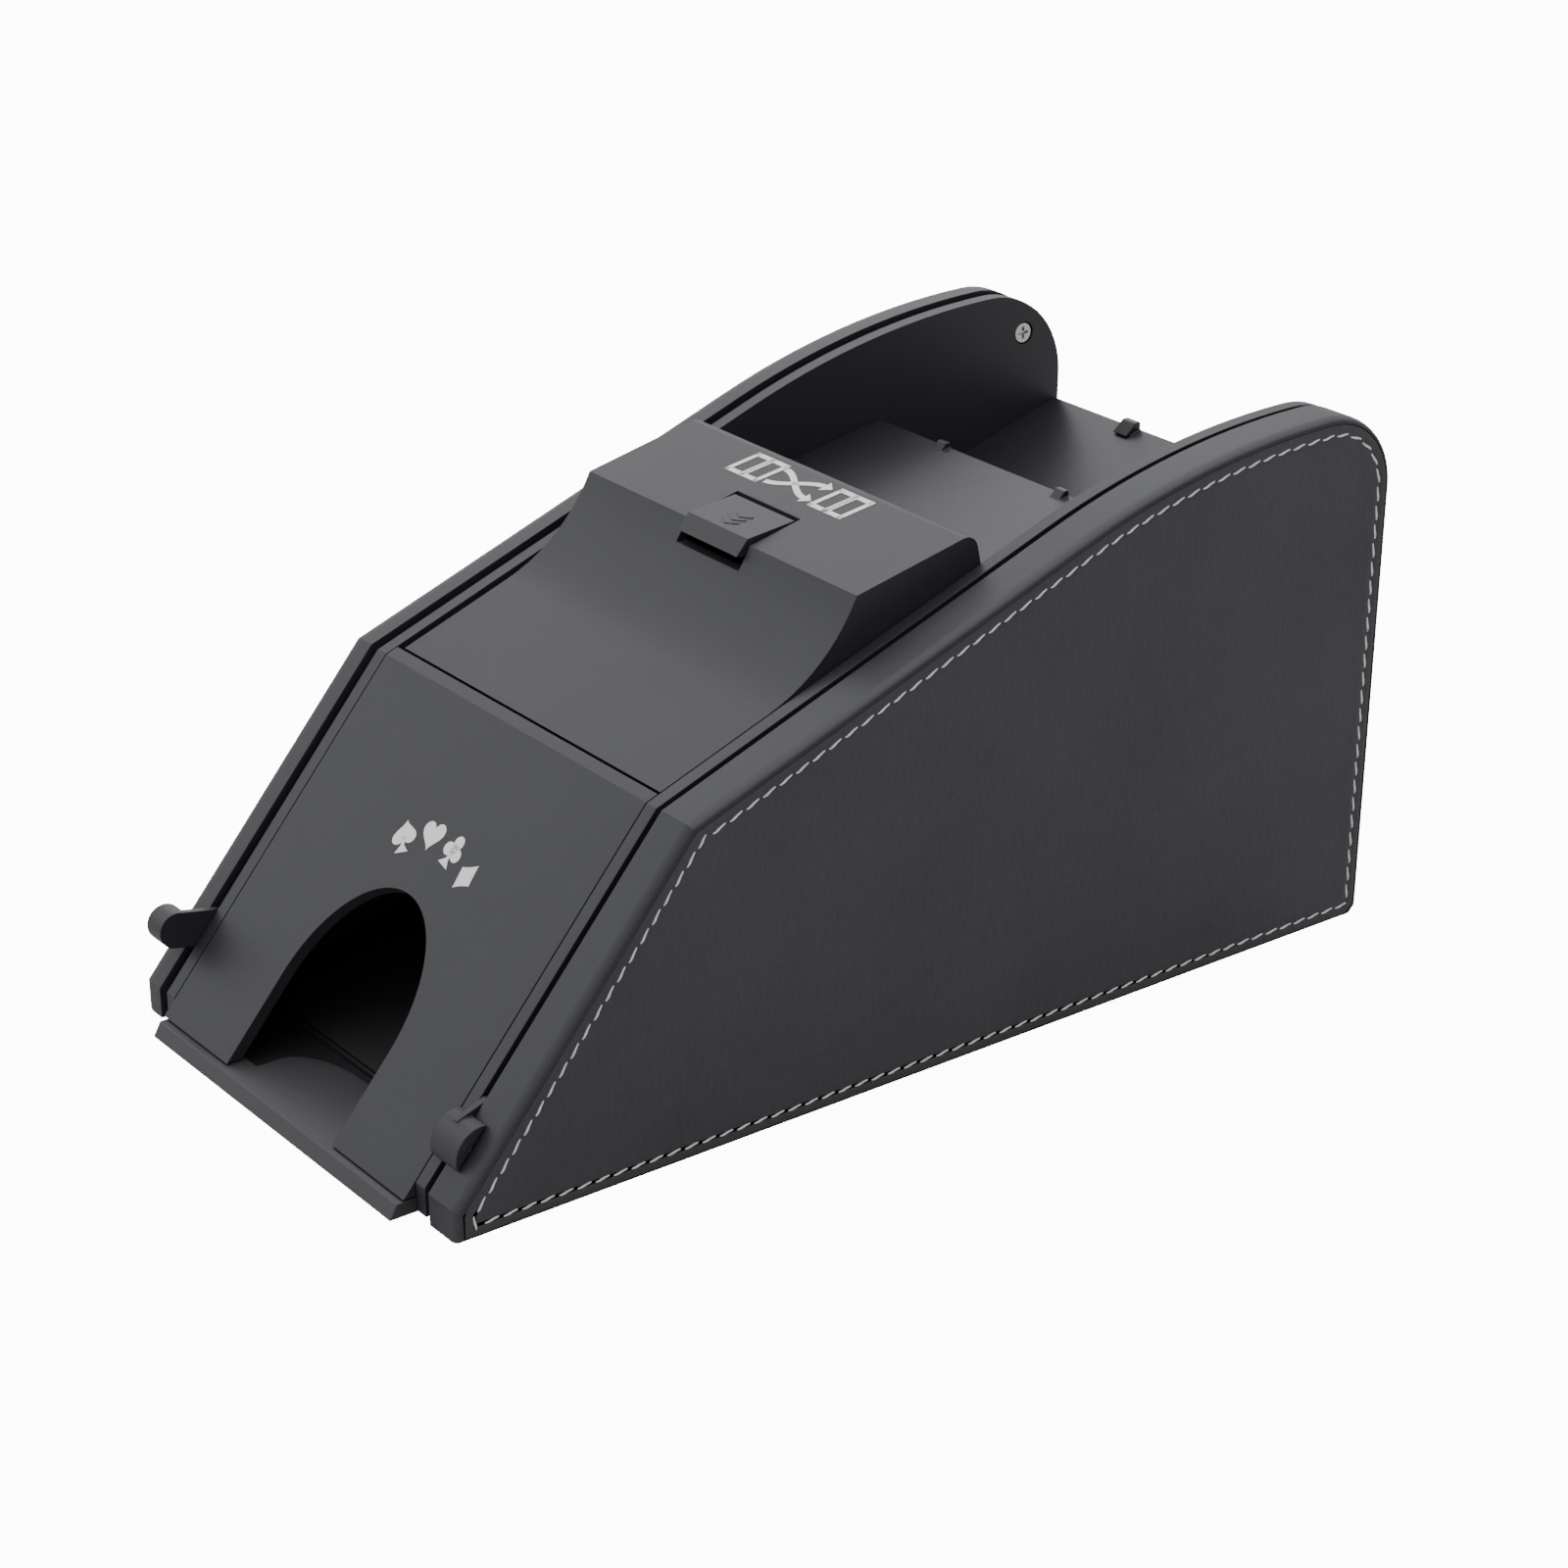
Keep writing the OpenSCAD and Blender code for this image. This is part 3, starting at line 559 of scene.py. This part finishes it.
def on_middle(point, x=0.0):
    """The same point moved sideways to x millimetres."""
    return Vector((x * MM, point.y, point.z))


def print_shapes(name, body, mat, origin, up_slope, normal, shapes, rise=PRINT_RISE):
    """Thin raised shapes on a plane. Each shape is a list of (x, up) in millimetres from the origin."""
    bm = bmesh.new()
    for shape in shapes:
        low, high = [], []
        for x, up in shape:
            spot = origin + ALONG_X * x * MM + up_slope * up * MM
            low.append(bm.verts.new(spot - normal * PRINT_ROOT * MM))
            high.append(bm.verts.new(spot + normal * rise * MM))
        bm.faces.new(high)
        bm.faces.new(list(reversed(low)))
        for i in range(len(shape)):
            j = (i + 1) % len(shape)
            bm.faces.new((low[i], low[j], high[j], high[i]))
    bmesh.ops.triangulate(bm, faces=[f for f in bm.faces if len(f.verts) > 4])
    link(name, finish_mesh(bm, name, 40), body, mat)


def turned(shape, size, at, angle=0.0):
    """A shape scaled, turned and moved to its place."""
    c, s = math.cos(angle) * size, math.sin(angle) * size
    return [(at[0] + c * x - s * y, at[1] + s * x + c * y) for x, y in shape]


# The four suits are one unit high. Each is a list of outlines.


def stem():
    return [(-0.26, -0.5), (-0.07, -0.28), (-0.06, 0.0), (0.06, 0.0), (0.07, -0.28), (0.26, -0.5)]


def heart():
    result = []
    for i in range(40):
        t = 2 * math.pi * i / 40
        rise = 13 * math.cos(t) - 5 * math.cos(2 * t) - 2 * math.cos(3 * t) - math.cos(4 * t)
        result.append((0.47 * math.sin(t) ** 3, 0.03 * rise + 0.06))
    return [result]


def spade():
    return [[(x, 0.12 - y * 0.86) for x, y in reversed(heart()[0])], stem()]


def diamond():
    result = []
    for i in range(32):
        t = 2 * math.pi * i / 32
        c, s = math.cos(t), math.sin(t)
        result.append((0.38 * math.copysign(abs(c) ** 2.3, c), 0.52 * math.copysign(abs(s) ** 2.3, s)))
    return [result]


def club():
    angles = [2 * math.pi * i / 24 for i in range(24)]
    leaves = [[(x + 0.205 * math.cos(a), y + 0.205 * math.sin(a)) for a in angles]
              for x, y in ((-0.22, -0.04), (0.22, -0.04), (0.0, 0.28))]
    middle = [(-0.12, -0.08), (0.12, -0.08), (0.1, 0.2), (-0.1, 0.2)]
    return leaves + [middle, stem()]


def ribbon(points, width):
    """A band of even width along a line, as one outline."""
    one_side, other_side = [], []
    for i, p in enumerate(points):
        a = points[max(0, i - 1)]
        b = points[min(len(points) - 1, i + 1)]
        d = math.hypot(b[0] - a[0], b[1] - a[1])
        nx, ny = -(b[1] - a[1]) / d * width / 2, (b[0] - a[0]) / d * width / 2
        one_side.append((p[0] + nx, p[1] + ny))
        other_side.append((p[0] - nx, p[1] - ny))
    return other_side + one_side[::-1]


def swap_arrows(width, height, band):
    """Two arrows that cross and point to the same side."""
    head_l, head_w = 2.5, 1.75
    shapes = []
    for way in (1, -1):
        line = []
        for i in range(17):
            t = i / 16
            blend = t * t * (3 - 2 * t)
            line.append((-width / 2 + (width - head_l + 0.1) * t, way * height / 2 * (1 - 2 * blend)))
        shapes.append(ribbon(line, band))
        tip = (width / 2, -way * height / 2)
        shapes.append([(tip[0] - head_l, tip[1] + head_w), (tip[0] - head_l, tip[1] - head_w), tip])
    return shapes


def card_outline(x_at):
    """A leaning card, drawn as four bands that meet in square corners."""
    width, height, lean, band = 4.6, 7.4, 0.12, 1.25
    corners = [(x * width / 2, y * height / 2) for x, y in ((-1, -1), (1, -1), (1, 1), (-1, 1))]
    corners = [(x_at + x + lean * y, y) for x, y in corners]
    shapes = []
    for i, p in enumerate(corners):
        q = corners[(i + 1) % 4]
        d = math.hypot(q[0] - p[0], q[1] - p[1])
        dx, dy = (q[0] - p[0]) * band / 2 / d, (q[1] - p[1]) * band / 2 / d
        shapes.append(ribbon([(p[0] - dx, p[1] - dy), (q[0] + dx, q[1] + dy)], band))
    return shapes


# The four suits stand in an arc above the thumb opening: turn, x, rise and shape.
SUIT_SIZE = 7.0
SUITS = ((0.5, -11.9, -0.1, spade), (0.15, -4.4, 2.8, heart),
         (-0.2, 3.5, 2.5, club), (-0.52, 10.8, -0.4, diamond))
ARC_AT = Vector((0, -0.08021, 0.05153))
at, up, out = plane_of("front_cover", Vector((0, -0.08, 0.05)), Vector((0, -0.758, 0.652)))
marks = [turned(part, SUIT_SIZE, (x, rise), angle) for angle, x, rise, suit in SUITS for part in suit()]
origin = on_middle(at + up * (ARC_AT - at).dot(up))
print_shapes("deal_marks", "front_cover", MATS["print"], origin, up, out, marks)

# Crossing arrows between two pairs of cards, on the hood behind the button.
SIGN_Y, ARROWS_X, CARDS_X = 0.0104, -2.2, (-18.6, -13.6, 9.4, 14.4)
at, up, out = plane_of("middle_cover", Vector((0.03, 0.01, 0.106)), Vector((0, -0.212, 0.977)))
marks = [[(x + ARROWS_X, rise) for x, rise in shape] for shape in swap_arrows(15.5, 5.6, 1.35)]
for card_x in CARDS_X:
    marks += card_outline(card_x)
origin = on_middle(at + up * ((SIGN_Y - at.y) / up.y))
print_shapes("shuffle_marks", "frame", MATS["print"], origin, up, out, marks)

# Three chevrons of the button's own plastic, raised to be felt.
BUTTON_X, CHEVRON_RISE, CHEVRON_BAND = -0.7, 0.14, 0.55
at, up, out = plane_of("shuffle_button", Vector((0, -0.004, 0.105)), Vector((0, -0.1104, 0.9939)))
marks = [ribbon([(-2.6, rise + 1.0), (0, rise - 0.4), (2.6, rise + 1.0)], CHEVRON_BAND)
         for rise in (-1.6, 0.2, 2.0)]
origin = on_middle(at, BUTTON_X)
print_shapes("button_chevrons", "shuffle_button", MATS["cover"], origin, up, out, marks, CHEVRON_RISE)

# The side profile bends at the kink, in (y, z) millimetres, and the front slopes down from it.
KINK = Vector((-60.95, 73.814))
FRONT_ANGLE = math.radians(49.322)
RING_SIDES = 28


def on_slope(s, h):
    """Point of the side profile, s down from the kink and h out of the slope, in metres."""
    c, q = math.cos(FRONT_ANGLE), math.sin(FRONT_ANGLE)
    return (KINK + Vector((-s * c - h * q, -s * q + h * c))) * MM


def ring_on_side(name, body, mat, x, at, radius, width, rise):
    """A small raised ring on a face that looks sideways."""
    bm = bmesh.new()
    turns = [2 * math.pi * k / RING_SIDES for k in range(RING_SIDES)]
    loops = []
    for r, dx in ((radius + width * 0.5, -PRINT_ROOT), (radius + width * 0.3, rise),
                  (radius - width * 0.3, rise), (radius - width * 0.5, -PRINT_ROOT)):
        loops.append([bm.verts.new((x + dx * MM, at.x + r * MM * math.cos(a), at.y + r * MM * math.sin(a)))
                      for a in turns])
    for a, b in zip(loops, loops[1:] + loops[:1]):
        for k in range(RING_SIDES):
            m = (k + 1) % RING_SIDES
            bm.faces.new((a[k], a[m], b[m], b[k]))
    link(name, finish_mesh(bm, name, 40), body, mat)


LEVER_MARK_AT, LEVER_MARK_R, LEVER_MARK_BAND, LEVER_MARK_RISE = on_slope(71.6, 1.3), 0.75, 0.36, 0.12
ring_on_side("right_lever_mark", "right_lever", MATS["shell"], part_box("right_lever")[1].x,
             LEVER_MARK_AT, LEVER_MARK_R, LEVER_MARK_BAND, LEVER_MARK_RISE)

# ---------------------------------------------------------------- stage

FLOOR_REACH, FLOOR_GLOW = 6.0, 12.0
FLOOR_CORNERS = [(x * FLOOR_REACH, y * FLOOR_REACH, 0) for x, y in ((-1, -1), (1, -1), (1, 1), (-1, 1))]
floor_mesh = bpy.data.meshes.new("floor")
floor_mesh.from_pydata(FLOOR_CORNERS, [], [(0, 1, 2, 3)])
floor = bpy.data.objects.new("floor", floor_mesh)
bpy.context.scene.collection.objects.link(floor)
floor_mat, floor_tree, floor_bsdf = new_material("pale_floor")
floor_bsdf.inputs["Base Color"].default_value = (0.6, 0.6, 0.6, 1)
floor_bsdf.inputs["Roughness"].default_value = 0.9
# Seen directly the floor is a bright white sweep. The part is lit by its plain pale surface alone.
glow = add(floor_tree, "ShaderNodeEmission", Color=(1, 1, 1, 1), Strength=FLOOR_GLOW)
seen = floor_tree.nodes.new("ShaderNodeLightPath")
both = floor_tree.nodes.new("ShaderNodeAddShader")
pick = floor_tree.nodes.new("ShaderNodeMixShader")
floor_out = next(n for n in floor_tree.nodes if n.type == "OUTPUT_MATERIAL")
floor_tree.links.new(floor_bsdf.outputs[0], both.inputs[0])
floor_tree.links.new(glow.outputs[0], both.inputs[1])
floor_tree.links.new(seen.outputs["Is Camera Ray"], pick.inputs[0])
floor_tree.links.new(floor_bsdf.outputs[0], pick.inputs[1])
floor_tree.links.new(both.outputs[0], pick.inputs[2])
floor_tree.links.new(pick.outputs[0], floor_out.inputs[0])
floor_mesh.materials.append(floor_mat)

# The room is dimmer on the side of the right shell, which lies in shade.
DIM_FROM, DIM_TO, BRIGHT_SIDE, DIM_SIDE = -0.3, 0.8, 1.1, 0.4
world = bpy.data.worlds.new("studio")
world.use_nodes = True
sky = world.node_tree
sky_coord = sky.nodes.new("ShaderNodeTexCoord")
sky_split = sky.nodes.new("ShaderNodeSeparateXYZ")
sky.links.new(sky_coord.outputs["Generated"], sky_split.inputs[0])
sky.nodes["Background"].inputs[0].default_value = (0.97, 0.98, 1, 1)
brightness = ramp(sky, sky_split.outputs[0], DIM_FROM, DIM_TO, BRIGHT_SIDE, DIM_SIDE)
sky.links.new(brightness, sky.nodes["Background"].inputs[1])
bpy.context.scene.world = world


def area_light(name, where, target, size, power):
    data = bpy.data.lights.new(name, "AREA")
    data.shape = "RECTANGLE"
    data.size, data.size_y = size
    data.energy = power
    lamp = bpy.data.objects.new(name, data)
    lamp.location = where
    direction = Vector(target) - Vector(where)
    lamp.rotation_euler = direction.to_track_quat("-Z", "Y").to_euler()
    bpy.context.scene.collection.objects.link(lamp)


area_light("top_soft", (-0.1, 0.2, 1.1), (0, 0, 0.05), (1.2, 1.2), 5)
area_light("left_soft", (-1.0, 0.5, 0.6), (0, 0, 0.06), (0.9, 0.7), 1.8)
area_light("front_soft", (-1.0, -0.5, 0.6), (-0.03, -0.06, 0.05), (0.6, 0.6), 0.8)

# ---------------------------------------------------------------- camera

AZIMUTH, ELEVATION, ROLL = (math.radians(a) for a in (53.133, 24.065, -0.195))
DISTANCE, TARGET = 0.772789, Vector((0, 0.005009, 0.043547))
FOCAL, SENSOR, FRAME_WIDTH = 85.18, 36, 1600
SHIFT_X, SHIFT_Y = -0.7 / FRAME_WIDTH, 0.2 / FRAME_WIDTH
back = Vector((math.sin(AZIMUTH) * math.cos(ELEVATION), -math.cos(AZIMUTH) * math.cos(ELEVATION),
               math.sin(ELEVATION)))
level = Vector((math.cos(AZIMUTH), math.sin(AZIMUTH), 0))
upright = back.cross(level)
right = math.cos(ROLL) * level + math.sin(ROLL) * upright
up = math.cos(ROLL) * upright - math.sin(ROLL) * level
lens = bpy.data.cameras.new("camera")
lens.lens = FOCAL
lens.sensor_width = SENSOR
lens.shift_x = SHIFT_X
lens.shift_y = SHIFT_Y
lens.clip_start = 0.01
lens.clip_end = 50
camera = bpy.data.objects.new("camera", lens)
pose = Matrix((right, up, back)).transposed().to_4x4()
camera.matrix_world = Matrix.Translation(TARGET + back * DISTANCE) @ pose
bpy.context.scene.collection.objects.link(camera)
bpy.context.scene.camera = camera
